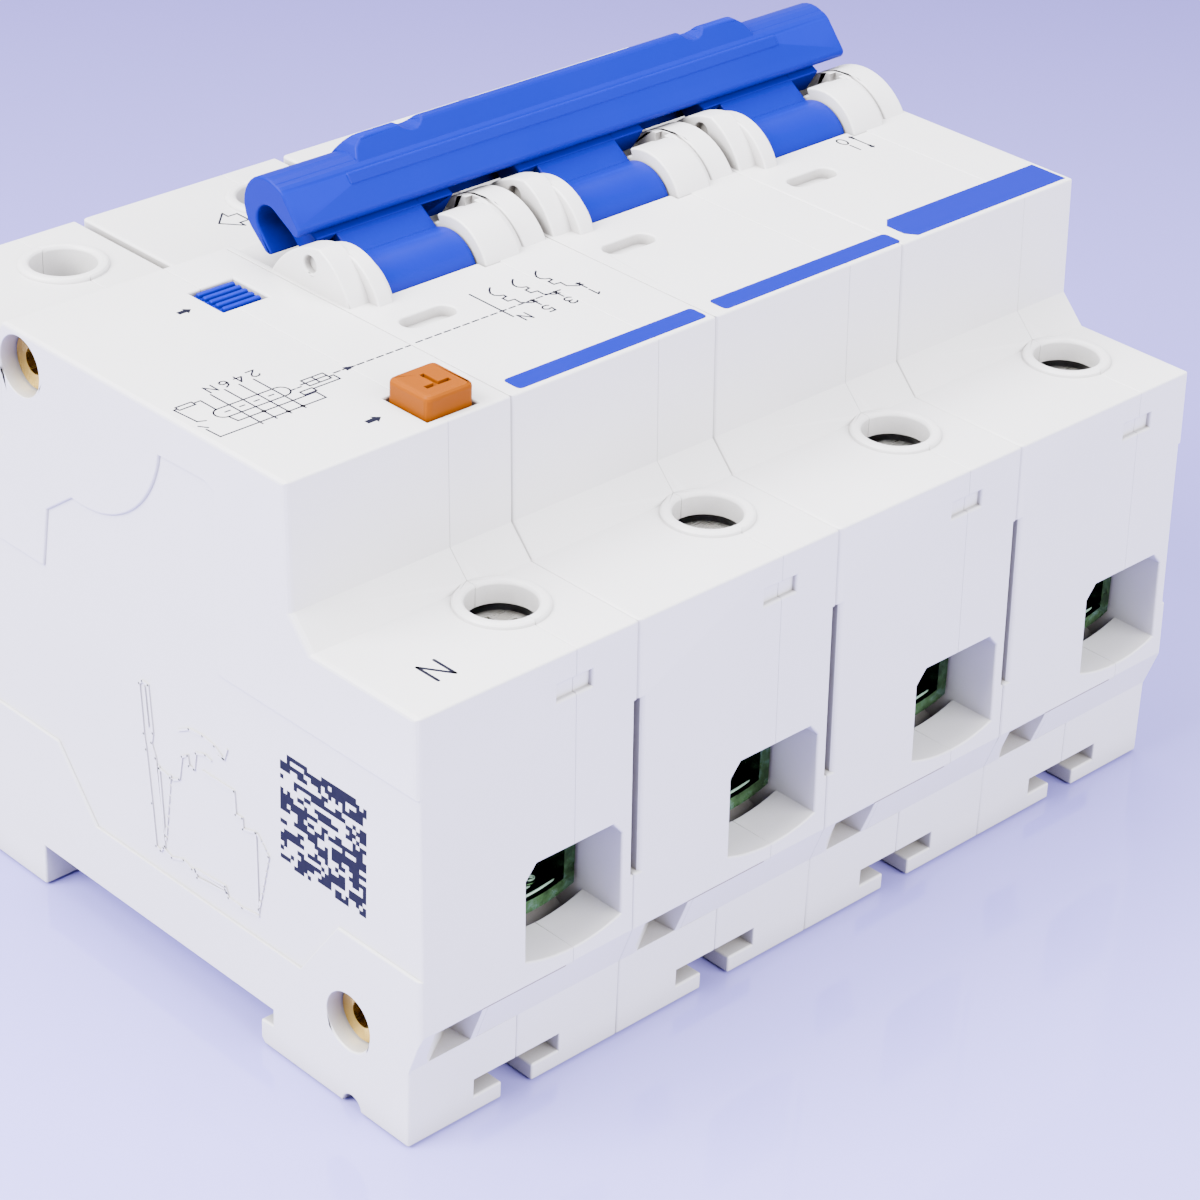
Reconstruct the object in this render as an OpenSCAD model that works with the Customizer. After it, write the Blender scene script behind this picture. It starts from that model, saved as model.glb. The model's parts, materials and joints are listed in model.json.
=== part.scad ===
/* [Modules] */
// Width of one module, neutral or phase
module_w = 27; // [27:0.1:27.4]
// Length from the line end to the load end
body_l = 88; // [87:0.5:90]
// Height of the raised deck above the foot
deck_h = 63.5; // [63.3:0.1:64]
// Height of the low shoulder over the line terminals
line_shoulder_h = 47.5; // [47:0.1:48]
// Height of the tall shoulder over the load terminals
load_shoulder_h = 57.8; // [57.4:0.1:58.2]
// Thickness of the moulded walls
wall = 1.6; // [1.4:0.1:1.7]
// Joint line between case and cover, from the module's left face
seam_x = 19.2; // [19:0.1:19.4]

/* [Rail] */
// Width of the top-hat rail
rail_w = 35; // [34.8:0.1:35.2]
// Height of the rail seat above the foot
seat_z = 4.7; // [4.5:0.1:4.9]
// How far a rail clip hooks under the rail
clip_grip = 1.2; // [1:0.1:1.4]

/* [Terminals] */
// Centre of a terminal, from the module's left face
term_x = 19.3; // [19.2:0.1:19.4]
// Centre of the line terminals, from the line end
line_y = 11.5; // [11.4:0.1:11.6]
// Centre of the load terminals, from the line end
load_y = 78.6; // [78.4:0.1:78.8]
// Radius of the screwdriver holes
access_r = 3.5; // [3.4:0.05:3.6]
// Radius of the raised rim around a screwdriver hole
rim_r = 4.75; // [4.6:0.05:4.9]
// Radius of a clamp screw's shank
shank_r = 2.6; // [2.5:0.05:2.65]

/* [Handle] */
// Handle axis, from the line end
axis_y = 47.3; // [47.2:0.1:47.4]
// Handle axis above the foot
axis_z = 61.4; // [61.3:0.1:61.5]
// Radius of a handle drum
drum_r = 4.4; // [4.3:0.05:4.45]
// Radius of a drum trunnion
trunnion_r = 2.2; // [2.1:0.05:2.3]
// Left end of the handle bar, from the device's left face
bar_x0 = 28.2; // [28:0.1:28.6]
// Right end of the handle bar
bar_x1 = 106.4; // [106:0.1:106.6]

/* [Buttons] */
// Side of the square test button
test_size = 5.8; // [5.6:0.1:6]
// How far the test button stands above the deck
test_rise = 2.2; // [2:0.1:2.4]
// Side of the square reset button
reset_size = 5.2; // [5:0.1:5.3]

/* [Hidden] */
$fn = 48;
modules = 4;
total_w = modules * module_w;
ivory = "ivory";
copper = "peru";
steel = "silver";

// Levels and stations shared by the housings, from the line end and the foot
foot_y = 1.6;
chin_z = 8.9;
tip_z = 13.5;
face_lean = 1.2;
deck_y0 = 19.2;
deck_y1 = 61.7;
rail_y0 = 22.2;
rail_y1 = rail_y0 + rail_w;
floor_z = 7.2;
roof_t = 2;
load_face_y = body_l - face_lean;

// Wire mouths and cages
mouth_x0 = 13.1;
mouth_x1 = 25.4;
mouth_z0 = 15;
mouth_z1 = 26.5;
mouth_bow = 18;
cage_d = 10.6;
cage_wall = 1.4;
cage_z1 = 32.5;
bar_z0 = 27.4;
bar_t = 1.4;
bar_wide_x0 = 15.6;
bar_wide_x1 = 23;
shelf_z = 40.5;
shelf_t = 1.5;
head_h = 3;

// Contact system
arm_y = 57;
arm_z = 38;
open_angle = 14;
arm_x0 = 10.6;
arm_x1 = 15;
crank_r = 4.6;
crank_angle = 200;
crank_y = axis_y + crank_r * cos(crank_angle);
crank_z = axis_z + crank_r * sin(crank_angle);
pin_r = 0.8;
post_r = 1.5;
running = 0.05;
hook_reach = 11.5;
hook_y = arm_y - hook_reach * cos(open_angle);
hook_z = arm_z + hook_reach * sin(open_angle);

// Trip bar through all modules
trip_y = 38.4;
trip_z = 57;
trip_r = 1.9;

// Rivets that close the stack, as [y, z]
rivets = [[10.4, 9.7], [59.2, 59.7], [77.6, 9.7]];
rivet_r = 2;
rivet_hole_r = 1.4;
rivet_head_r = 2.9;
counterbore_r = 3.15;
counterbore_d = 2.4;
boss_r = 3.7;

// Depth of the panels moulded into the side faces; a pole's left one is deeper
side_recess = 0.3;
pole_recess = 0.7;

// Button stations in the neutral module
test_shelf_z = 51.2;
test_x = 20.65;
test_y = 23.3;
reset_x = 20.45;
reset_y = 52.9;

// ---------- helpers ----------

module device() translate([-total_w / 2, -body_l / 2, 0]) children();

module at_module(i) device() translate([i * module_w, 0, 0]) children();

module along_x(x0, x1) translate([x0, 0, 0]) rotate([90, 0, 90]) linear_extrude(x1 - x0) children();

module along_y(y0, y1) translate([0, y1, 0]) rotate([90, 0, 0]) linear_extrude(y1 - y0) children();

module block(x0, x1, y0, y1, z0, z1) translate([x0, y0, z0]) cube([x1 - x0, y1 - y0, z1 - z0]);

module rod_x(x0, x1, y, z, r) translate([x0, y, z]) rotate([0, 90, 0]) cylinder(r = r, h = x1 - x0);

module rod_y(x, y0, y1, z, r) translate([x, y0, z]) rotate([-90, 0, 0]) cylinder(r = r, h = y1 - y0);

module rod_z(x, y, z0, z1, r) translate([x, y, z0]) cylinder(r = r, h = z1 - z0);

module dot(y, z, r) translate([y, z]) circle(r = r, $fn = 32);

// ---------- housing outlines, seen from the side as [y, z] ----------

module body_outline() {
    difference() {
        polygon([
            [foot_y, 0], [foot_y, chin_z], [0, tip_z], [face_lean, line_shoulder_h],
            [deck_y0 - 3.5, line_shoulder_h], [deck_y0 - 0.6, line_shoulder_h + 3], [deck_y0, deck_h],
            [deck_y1, deck_h], [deck_y1 + 3, load_shoulder_h], [load_face_y, load_shoulder_h],
            [body_l, tip_z], [body_l - foot_y, chin_z], [body_l - foot_y, 0],
            [rail_y1 + 1.6, 0], [rail_y1 + 1.6, seat_z], [rail_y0 - 0.5, seat_z],
            [rail_y0 - 0.5, seat_z - 1.8], [rail_y0 + 1.3, seat_z - 2], [rail_y0 + 1.3, 0.6],
            [rail_y0 + 0.8, 0]]);
        dot(9.85, 0, 1.25);
    }
}

module cavity_outline() {
    polygon([
        [5, floor_z], [3.4, tip_z], [3.6, line_shoulder_h - roof_t],
        [deck_y0 - 1.6, line_shoulder_h - roof_t], [deck_y0 + 0.8, line_shoulder_h + 2.2],
        [deck_y0 + 1, deck_h - roof_t], [deck_y1 - 1.3, deck_h - roof_t],
        [deck_y1 + 1.6, load_shoulder_h - roof_t], [body_l - 3.6, load_shoulder_h - roof_t],
        [body_l - 3.4, tip_z], [body_l - 5, floor_z]]);
}

// Shallow panel moulded into both side faces
module side_panel_outline() {
    difference() {
        polygon([
            [-1, 19.8], [-1, 39], [29.5, 39], [29.6, 58.4], [31.2, 59.1], [37.8, 58.9],
            [38.3, 57], [48, 48.6], [51.5, 48.6], [55.8, 45.5], [56.8, 38.8], [body_l + 1, 38.8],
            [body_l + 1, 19.1], [55.6, 19.1], [49.5, 11.8], [17.5, 12], [12, 19.7]]);
        dot(50, 61, 12.6);
    }
    polygon([
        [deck_y1 + 0.9, 51], [deck_y1 + 2.8, 49], [body_l + 1, 49],
        [body_l + 1, deck_h], [deck_y1 + 0.9, deck_h]]);
}

// Opening where a cable enters, as [x, z]
module wire_mouth(grow) {
    intersection() {
        polygon([
            [mouth_x0 - grow, mouth_z0 - 1 - grow], [mouth_x0 - grow, mouth_z1 - 1.5 - grow / 2],
            [mouth_x0 + 1.3 - grow / 2, mouth_z1 + grow], [mouth_x1 - 1.2 + grow / 2, mouth_z1 + grow],
            [mouth_x1 + grow, mouth_z1 - 1.4 + grow / 2], [mouth_x1 + grow, mouth_z0 - 1 - grow]]);
        translate([term_x, mouth_z0 + mouth_bow]) circle(r = mouth_bow + grow, $fn = 96);
    }
}

// T-shaped channel in the foot for a rail clip, as [x, z]
module clip_channel(grow) {
    translate([8.3 - grow, 1.9 - grow]) square([10.9 + 2 * grow, 1.9 + 2 * grow]);
    translate([11.8 - grow, -1]) square([3.9 + 2 * grow, 3.2]);
}

// Wedge-shaped pocket under the chin, for a screwdriver blade, as [x, y]
module chin_pocket(z0, z1) {
    translate([0, 0, z0]) linear_extrude(z1 - z0)
        polygon([[1.8, -1], [1.8, 1.2], [7.2, 4.6], [7.7, 0.6], [7.7, -1]]);
}

// ---------- housing pieces ----------

module terminal_bay(y) {
    block(wall - 0.5, module_w - wall + 0.5, y - 5.4, y + 5.4, shelf_z, shelf_z + shelf_t);
}

module terminal_bores(y, shoulder_h) {
    rod_z(term_x, y, shelf_z - 1, shelf_z + shelf_t + 1, shank_r + 0.5);
    rod_z(term_x, y, line_shoulder_h - roof_t - 1, shoulder_h + 2, access_r);
}

module rivet_bosses() {
    for (p = rivets) rod_x(wall - 0.5, module_w - wall + 0.5, p[0], p[1], boss_r);
}

module front_mark_slot() {
    block(16.8, 21.2, -1, 1.6, 42.8, 44.55);
}

// Cheeks that hug the drum on its left
module left_cheek() {
    along_x(0.4, 3.2) intersection() {
        translate([axis_y - 0.7, axis_z - 2.8]) circle(r = 9.6);
        translate([axis_y + 3.2, axis_z - 0.9]) circle(r = 8.2);
    }
    rod_x(2.9, 4.8, axis_y, axis_z, 6.2);
    rod_x(4.6, 5.9, axis_y, axis_z, 4.95);
}

// Cheeks that hug the drum on its right
module right_cheek() {
    difference() {
        rod_x(17.5, 22.2, axis_y, axis_z, 5.6);
        along_x(17, 22) difference() {
            polygon([
                [axis_y + 1.7, axis_z + 3.65], [axis_y + 3, axis_z + 6.5],
                [axis_y + 8, axis_z + 6.5], [axis_y + 8, axis_z + 2.2]]);
            dot(axis_y, axis_z, 4.85);
        }
    }
    difference() {
        rod_x(22, 26.5, axis_y + 1.9, axis_z - 1.8, 7.4);
        difference() {
            rod_x(23, 23.4, axis_y + 1.9, axis_z - 1.8, 9);
            rod_x(22.9, 23.5, axis_y + 1.9, axis_z - 1.8, 7.1);
        }
    }
}

module housing_walls() {
    difference() {
        union() {
            along_x(0, module_w) body_outline();
            rod_z(term_x, line_y, line_shoulder_h - 1, line_shoulder_h + 0.5, rim_r);
            rod_z(term_x, load_y, load_shoulder_h - 1, load_shoulder_h + 0.5, rim_r);
        }
        along_x(wall, module_w - wall) cavity_outline();
    }
    terminal_bay(line_y);
    terminal_bay(load_y);
    rod_z(term_x, load_y, line_shoulder_h - roof_t, load_shoulder_h - 1, access_r + 1.2);
    along_y(2, 5.6) wire_mouth(1.2);
    along_y(body_l - 3.8, body_l - 2) wire_mouth(1.2);
    rivet_bosses();
}

module housing_cuts(left_recess) {
    terminal_bores(line_y, line_shoulder_h);
    terminal_bores(load_y, load_shoulder_h);
    along_y(-1, 6) wire_mouth(0);
    along_y(body_l - 4.2, body_l + 1) wire_mouth(0);
    along_y(-1, rail_y0 - 2.6) clip_channel(0);
    along_y(rail_y1, body_l + 1) clip_channel(0);
    front_mark_slot();
    translate([0, body_l, 0]) mirror([0, 1, 0]) front_mark_slot();
    chin_pocket(chin_z + 0.1, tip_z - 0.2);
    translate([0, body_l, 0]) mirror([0, 1, 0]) chin_pocket(chin_z + 0.1, tip_z - 0.2);
    along_x(-1, left_recess) side_panel_outline();
    along_x(module_w - side_recess, module_w + 1) side_panel_outline();
    for (p = rivets) rod_x(-1, module_w + 1, p[0], p[1], rivet_r + running);
}

// Shallow slot with rounded ends in a pole's deck
module deck_window() {
    for (x = [3.4, 7.3]) rod_z(x, 37, deck_h - 1.2, deck_h + 1, 1.3);
    block(3.4, 7.3, 35.7, 38.3, deck_h - 1.2, deck_h + 1);
}

module neutral_housing() {
    difference() {
        union() {
            housing_walls();
            for (x = [12.25, 15.75]) block(x - 0.6, x + 0.6, 62.4, 66.6, floor_z - 0.5, 19.2);
        }
        housing_cuts(side_recess);
        button_hole(test_x, test_y, test_size);
        button_hole(reset_x, reset_y, reset_size);
        rod_x(10, module_w + 1, trip_y, trip_z, trip_r + 0.3);
        for (p = rivets) rod_x(-1, counterbore_d, p[0], p[1], counterbore_r);
    }
}

module button_hole(x, y, size) {
    half = size / 2 + 0.2;
    block(x - half, x + half, y - half, y + half, deck_h - roof_t - 1, deck_h + 1);
}

// Shelves inside the neutral cover that carry the two push buttons
module button_shelves() {
    difference() {
        block(17.4, module_w - wall + 0.5, deck_y0 + 1.3, test_y + 4.4, test_shelf_z - 1.2, test_shelf_z);
        rod_z(test_x, test_y, 49, 52, 1.6);
    }
    block(17.4, module_w - wall + 0.5, reset_y - 3.6, reset_y + 3.4, 48, 49.2);
}

module pole_housing(last) {
    difference() {
        union() {
            difference() {
                housing_walls();
                block(0.8, module_w - 0.8, axis_y + 4.2, deck_y1 + 4, deck_h - 1, deck_h + 1);
            }
            left_cheek();
            rod_x(wall - 0.5, 18.6, arm_y, arm_z, post_r);
        }
        housing_cuts(pole_recess);
        rod_x(5.9, 17.5, axis_y, axis_z, drum_r + 0.3);
        rod_x(3, 6.2, axis_y, axis_z, trunnion_r + running);
        rod_x(17.3, seam_x + 0.1, axis_y, axis_z, 5.7);
        deck_window();
        rod_x(-1, 1.2, axis_y + 1.6, axis_z + 4.7, 0.9);
        rod_x(-1, last ? 10 : module_w + 1, trip_y, trip_z, trip_r + 0.3);
        if (last) for (p = rivets) rod_x(module_w - counterbore_d, module_w + 1, p[0], p[1], counterbore_r);
    }
}

// Everything on the cover's side of the joint line, which steps left in the feet and chins
module cover_zone() {
    block(seam_x, module_w + 1, -2, body_l + 2, -2, 80);
    block(13.6, seam_x + 1, -2, body_l + 2, -2, 3);
    for (y = [-2, body_l - 5]) {
        block(13.6, seam_x + 1, y, y + 7, 2, chin_z);
        block(8.4, seam_x + 1, y, y + 7, chin_z, tip_z - 0.2);
    }
}

module case_part() difference() {
    children();
    cover_zone();
}

module cover_part() intersection() {
    children();
    cover_zone();
}

module neutral_case() color(ivory) at_module(0) case_part() neutral_housing();

module neutral_cover() color(ivory) at_module(0) {
    cover_part() neutral_housing();
    button_shelves();
}

module pole_case(i) color(ivory) at_module(i) case_part() pole_housing(i == modules - 1);

module pole_cover(i) color(ivory) at_module(i) difference() {
    union() {
        cover_part() pole_housing(i == modules - 1);
        right_cheek();
    }
    rod_x(17, 23.6, axis_y, axis_z, trunnion_r + running);
    rod_x(20.6, 22.8, axis_y + 2.3, axis_z + 5, 0.8);
}

// ---------- handle ----------

module bar_section() {
    hull() {
        dot(56.7, 68.9, 3.5);
        dot(56.4, 65.25, 0.95);
    }
    hull() {
        dot(55.6, 69.9, 2.2);
        dot(52.15, 68.25, 0.65);
    }
}

// The channel along the bar that the drum levers plug into
module bar_hollow() hull() {
    dot(56.3, 67.7, 1.8);
    polygon([[52.4, 67.6], [50.4, 66], [53.6, 62.6], [55.7, 64.2]]);
}

// The fin seen from the front, with rounded ends and two dips, as [x, z]
module fin_outline() {
    polygon([
        [38.35, 66], [38.35, 71.2], [38.55, 72.2], [39.1, 73.1], [40, 73.65], [41.2, 73.86],
        [45, 73.86], [45.6, 73.35], [46.3, 73.1], [47.1, 73.1], [47.8, 73.35], [48.4, 73.86],
        [85.3, 73.86], [85.9, 73.35], [86.6, 73.1], [87.4, 73.1], [88.1, 73.35], [88.7, 73.86],
        [92.4, 73.86], [93.6, 73.65], [94.5, 73.1], [95.05, 72.2], [95.25, 71.2], [95.25, 66]]);
}

// Fin along the top of the bar that the thumb pushes
module fin() intersection() {
    along_x(38.3, 95.3) hull() {
        dot(56.7, 68.9, 3.45);
        dot(56.9, 72.86, 1);
    }
    along_y(50, 62) fin_outline();
}

module handle_bar() color("royalblue") device() difference() {
    union() {
        along_x(bar_x0, bar_x1) bar_section();
        fin();
        along_x(36.3, 97.6) hull() {
            dot(53.62, 70.62, 0.32);
            dot(54.1, 71.28, 0.32);
        }
    }
    along_x(bar_x0 - 1, bar_x1 + 1) bar_hollow();
}

module lever_section() {
    polygon([[49.3, 65.3], [51.9, 67], [55.2, 68.5], [57.4, 67.6], [54.6, 65.1], [51.6, 63.1], [48, 62]]);
}

module lever_tip_section() {
    polygon([[51.7, 66.9], [55.2, 68.5], [57.4, 67.6], [54.6, 65.1], [53.3, 64.2]]);
}

module pole_drum(i) color("royalblue") at_module(i) {
    difference() {
        union() {
            rod_x(6.1, 17.3, axis_y, axis_z, drum_r);
            rod_x(3.2, 6.2, axis_y, axis_z, trunnion_r);
            rod_x(17.2, 23.4, axis_y, axis_z, trunnion_r);
            along_x(6.1, 17.3) lever_section();
            along_x(3.6, 21.6) lever_tip_section();
            rod_x(7.5, 18, 56.3, 67.7, 1.8);
            along_x(10.6, 15) hull() {
                dot(axis_y, axis_z, 3);
                dot(crank_y, crank_z, 1.4);
            }
        }
        rod_x(9, 17, crank_y, crank_z, pin_r + running);
        along_x(8.7, 10.5) hull() {
            dot(crank_y, crank_z, 1.8);
            dot((2 * crank_y + hook_y) / 3, (2 * crank_z + hook_z) / 3, 1.8);
        }
    }
}

// ---------- contact system ----------

module link(i) color(steel) at_module(i) {
    along_x(9, 10.2) hull() {
        dot(crank_y, crank_z, 1.4);
        dot(hook_y, hook_z, 1.4);
    }
    rod_x(9.2, 15.2, crank_y, crank_z, pin_r);
    rod_x(9.2, 14.8, hook_y, hook_z, pin_r);
}

module arm_section() {
    difference() {
        union() {
            dot(0, 0, 3.2);
            polygon([[0, 3], [-12, 2], [-28, 1.4], [-30.5, 0.6], [-30.5, -1.5], [-16, -2], [0, -3]]);
            dot(-hook_reach, -0.7, 3.2);
        }
        hull() {
            dot(-hook_reach, 0.25, pin_r + 0.6);
            dot(-hook_reach, -1.3, pin_r + 0.6);
        }
    }
}

module contact_arm(i) color(copper) at_module(i)
    translate([0, arm_y, arm_z]) rotate([-open_angle, 0, 0]) difference() {
        union() {
            along_x(arm_x0, arm_x1) arm_section();
            rod_z(12.8, -29, -2.3, -1.3, 1.8);
        }
        rod_x(0, 20, 0, 0, post_r + running);
    }

module fixed_contact(i) color(copper) at_module(i) {
    block(bar_wide_x0, bar_wide_x1, line_y - 5.1, 21, bar_z0, bar_z0 + bar_t);
    block(bar_wide_x0, bar_wide_x1, 19.6, 21, bar_z0, 34);
    block(9.5, bar_wide_x1, 19.6, 31, 32.6, 34);
    rod_z(12.8, arm_y - 29, 33.9, 34.9, 2);
}

module arc_chute(i) color("dimgray") at_module(i) {
    for (x = [3.4, 22.6]) block(x, x + 1, 21.4, 38, 8.6, 25.6);
    for (k = [0 : 6]) difference() {
        block(4.2, 22.8, 21.8, 37.4, 9.4 + 2.4 * k, 10.2 + 2.4 * k);
        translate([13, 38, 9 + 2.4 * k]) rotate([0, 0, 45]) translate([-4, -4, 0]) cube([8, 8, 2]);
    }
}

module magnet_coil(i) color(copper) at_module(i) {
    difference() {
        rod_y(12, 24, 34.5, 52.5, 4.2);
        rod_y(12, 23, 36, 52.5, 2.4);
    }
    rod_y(12, 23, 35.2, 52.5, 2);
    difference() {
        block(7, 17, 22.4, 36, 46.9, 57.4);
        block(6, 18, 23.6, 34.8, 48, 59);
        rod_y(12, 34, 37, 52.5, 2);
        rod_y(12, 22, 24, 52.5, 2);
    }
}

module bimetal(i) color(copper) at_module(i) {
    block(bar_wide_x0, bar_wide_x1, 65.8, load_y + 5.1, bar_z0, bar_z0 + bar_t);
    block(bar_wide_x0, bar_wide_x1, 64.4, 65.9, bar_z0, 33);
    block(16.4, 22.2, 63.5, 64.5, 30, 52);
}

// ---------- terminals ----------

module cage_section(grow) {
    intersection() {
        translate([13.7 + cage_wall - grow, 12])
            square([11.2 - 2 * (cage_wall - grow), cage_z1 - 12 - (cage_wall - grow)]);
        translate([term_x, 33.4]) circle(r = 16.2 + grow, $fn = 96);
    }
}

module clamp(i, y) color("darkolivegreen") at_module(i) difference() {
    along_y(y - cage_d / 2, y + cage_d / 2) difference() {
        cage_section(cage_wall);
        cage_section(0);
    }
    rod_z(term_x, y, cage_z1 - 4, cage_z1 + 1, shank_r + running);
}

module screw(i, y) color(steel) at_module(i) {
    head_z = shelf_z + shelf_t;
    rod_z(term_x, y, bar_z0 + bar_t + 0.4, head_z + 0.5, shank_r);
    difference() {
        rod_z(term_x, y, head_z, head_z + head_h, 3.3);
        for (a = [0, 90]) translate([term_x, y, head_z + head_h]) rotate([0, 0, a]) cube([4.6, 0.9, 2.4], center = true);
    }
}

// ---------- residual-current parts ----------

module neutral_bar() color(copper) at_module(0) {
    block(bar_wide_x0, bar_wide_x1, line_y - 5.1, 19, bar_z0, bar_z0 + bar_t);
    block(11.2, bar_wide_x1, 17.4, 19.2, bar_z0, bar_z0 + bar_t);
    block(11.2, 16.8, 17.4, 71.4, bar_z0, bar_z0 + bar_t);
    block(11.2, bar_wide_x1, 70.2, 72, bar_z0, bar_z0 + bar_t);
    block(bar_wide_x0, bar_wide_x1, 71.4, load_y + 5.1, bar_z0, bar_z0 + bar_t);
}

sensor_x = 14;
sensor_z = 28.1;

module sensor_core() color("darkgray") at_module(0) difference() {
    rod_y(sensor_x, 61.5, 67.5, sensor_z, 9);
    rod_y(sensor_x, 61, 68, sensor_z, 6.8);
}

module sensor_winding() color("darkorange") at_module(0)
    for (a = [0 : 22.5 : 359]) translate([sensor_x, 0, sensor_z]) rotate([0, a, 0]) difference() {
        block(5.9, 9.9, 60.5, 68.5, -0.7, 0.7);
        block(6.7, 9.1, 61.4, 67.6, -1, 1);
    }

module circuit_board() color("seagreen") at_module(0) {
    block(3.2, 4.8, 24, 55, 32, 56.6);
    rod_x(4.7, 11, 30, 38, 3.2);
    rod_x(4.7, 9, 50, 37, 2.4);
    block(4.7, 7.4, 36, 42, 34.5, 41);
    block(4.7, 6.4, 27, 33, 45, 50);
    block(4.7, 8, 44, 53, 42, 46);
    block(4.7, 17.6, 22.4, 24.2, 46.4, 46.9);
    block(16, 24, 21.2, 24.4, 46.4, 46.9);
}

module trip_relay() color("dimgray") at_module(0) {
    block(5, 20, 27, 28.2, 9.5, 22.5);
    block(5, 20, 42.8, 44, 9.5, 22.5);
    block(5, 20, 27, 44, 8.4, 9.6);
    rod_y(12.5, 28.1, 42.9, 16, 5.6);
    rod_y(12.5, 43.5, 49, 16, 1.6);
}

module test_button() color("darkorange") at_module(0) {
    difference() {
        hull() for (dx = [-1, 1], dy = [-1, 1])
            rod_z(test_x + dx * (test_size / 2 - 0.7), test_y + dy * (test_size / 2 - 0.7),
                  deck_h - 3.2, deck_h + test_rise, 0.7);
        letter_z = deck_h + test_rise - 0.35;
        block(test_x - 1.5, test_x + 1.5, test_y - 1.25, test_y - 0.7, letter_z, deck_h + 4);
        block(test_x - 0.28, test_x + 0.28, test_y - 0.8, test_y + 1.35, letter_z, deck_h + 4);
    }
    block(test_x - 3.7, test_x + 3.7, test_y - 2.6, test_y + 3.7, deck_h - 3.8, deck_h - 2.8);
    rod_z(test_x, test_y, 48.6, deck_h - 3.5, 1.3);
}

module reset_button() color("royalblue") at_module(0) {
    block(reset_x - reset_size / 2, reset_x + reset_size / 2, reset_y - reset_size / 2, reset_y + reset_size / 2,
          57.4, deck_h - 0.4);
    for (k = [-2 : 2]) block(reset_x - reset_size / 2 + 0.3, reset_x + reset_size / 2 - 0.3,
                             reset_y + k - 0.28, reset_y + k + 0.28, deck_h - 0.6, deck_h);
    block(reset_x - 3.6, reset_x + 3.6, reset_y - reset_size / 2, reset_y + reset_size / 2, 56.8, 58);
    rod_z(reset_x, reset_y, 52.6, 57, 1.3);
}

module test_spring() color(steel) at_module(0) {
    coils = 7;
    z0 = test_shelf_z + 0.25;
    z1 = deck_h - 3.8 - 0.25;
    for (k = [0 : coils - 1]) translate([test_x, test_y, z0 + k * (z1 - z0) / (coils - 1)])
        rotate_extrude() translate([2.1, 0]) circle(r = 0.25, $fn = 16);
}

module trip_bar() color("white") device() {
    rod_x(14, total_w - 2.5, trip_y, trip_z, trip_r);
    for (i = [0 : modules - 1]) block(i * module_w + 17.4, i * module_w + 21, trip_y - 1, trip_y + 1, trip_z - 7, trip_z);
}

module eyelet_rivets() color("gold") device() for (p = rivets) difference() {
    union() {
        rod_x(counterbore_d - 0.1, total_w - counterbore_d + 0.1, p[0], p[1], rivet_r);
        rod_x(counterbore_d - 0.6, counterbore_d, p[0], p[1], rivet_head_r);
        rod_x(total_w - counterbore_d, total_w - counterbore_d + 0.6, p[0], p[1], rivet_head_r);
    }
    rod_x(0, total_w, p[0], p[1], rivet_hole_r);
}

module rail_clip(i) color("whitesmoke") at_module(i) {
    along_y(rail_y1 + 2.4, body_l - 2.6) clip_tongue();
    along_x(8.55, 18.95) polygon([
        [rail_y1 - clip_grip, 2.15], [rail_y1 - clip_grip, 2.9], [rail_y1 - clip_grip + 0.6, 3.5],
        [rail_y1 + 3, 3.55], [rail_y1 + 3, 2.15]]);
}

module clip_tongue() {
    translate([8.55, 2.15]) square([10.4, 1.4]);
    translate([12.05, 0.5]) square([3.4, 1.8]);
}

neutral_case();
neutral_cover();
pole_case(1);  // pole1_case
pole_cover(1);  // pole1_cover
pole_case(2);  // pole2_case
pole_cover(2);  // pole2_cover
pole_case(3);  // pole3_case
pole_cover(3);  // pole3_cover
handle_bar();
pole_drum(1);  // pole1_drum
pole_drum(2);  // pole2_drum
pole_drum(3);  // pole3_drum
link(1);  // pole1_link
link(2);  // pole2_link
link(3);  // pole3_link
contact_arm(1);  // pole1_contact_arm
contact_arm(2);  // pole2_contact_arm
contact_arm(3);  // pole3_contact_arm
fixed_contact(1);  // pole1_fixed_contact
fixed_contact(2);  // pole2_fixed_contact
fixed_contact(3);  // pole3_fixed_contact
arc_chute(1);  // pole1_arc_chute
arc_chute(2);  // pole2_arc_chute
arc_chute(3);  // pole3_arc_chute
magnet_coil(1);  // pole1_magnet_coil
magnet_coil(2);  // pole2_magnet_coil
magnet_coil(3);  // pole3_magnet_coil
bimetal(1);  // pole1_bimetal
bimetal(2);  // pole2_bimetal
bimetal(3);  // pole3_bimetal
clamp(0, line_y);  // neutral_line_clamp
clamp(1, line_y);  // pole1_line_clamp
clamp(2, line_y);  // pole2_line_clamp
clamp(3, line_y);  // pole3_line_clamp
clamp(0, load_y);  // neutral_load_clamp
clamp(1, load_y);  // pole1_load_clamp
clamp(2, load_y);  // pole2_load_clamp
clamp(3, load_y);  // pole3_load_clamp
screw(0, line_y);  // neutral_line_screw
screw(1, line_y);  // pole1_line_screw
screw(2, line_y);  // pole2_line_screw
screw(3, line_y);  // pole3_line_screw
screw(0, load_y);  // neutral_load_screw
screw(1, load_y);  // pole1_load_screw
screw(2, load_y);  // pole2_load_screw
screw(3, load_y);  // pole3_load_screw
neutral_bar();
sensor_core();
sensor_winding();
circuit_board();
trip_relay();
test_button();
reset_button();
test_spring();
trip_bar();
eyelet_rivets();
rail_clip(0);  // rail_clip_1
rail_clip(1);  // rail_clip_2
rail_clip(2);  // rail_clip_3
rail_clip(3);  // rail_clip_4
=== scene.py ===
import json
import math
import random

import bmesh
import bpy
from mathutils import Matrix, Vector


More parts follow.
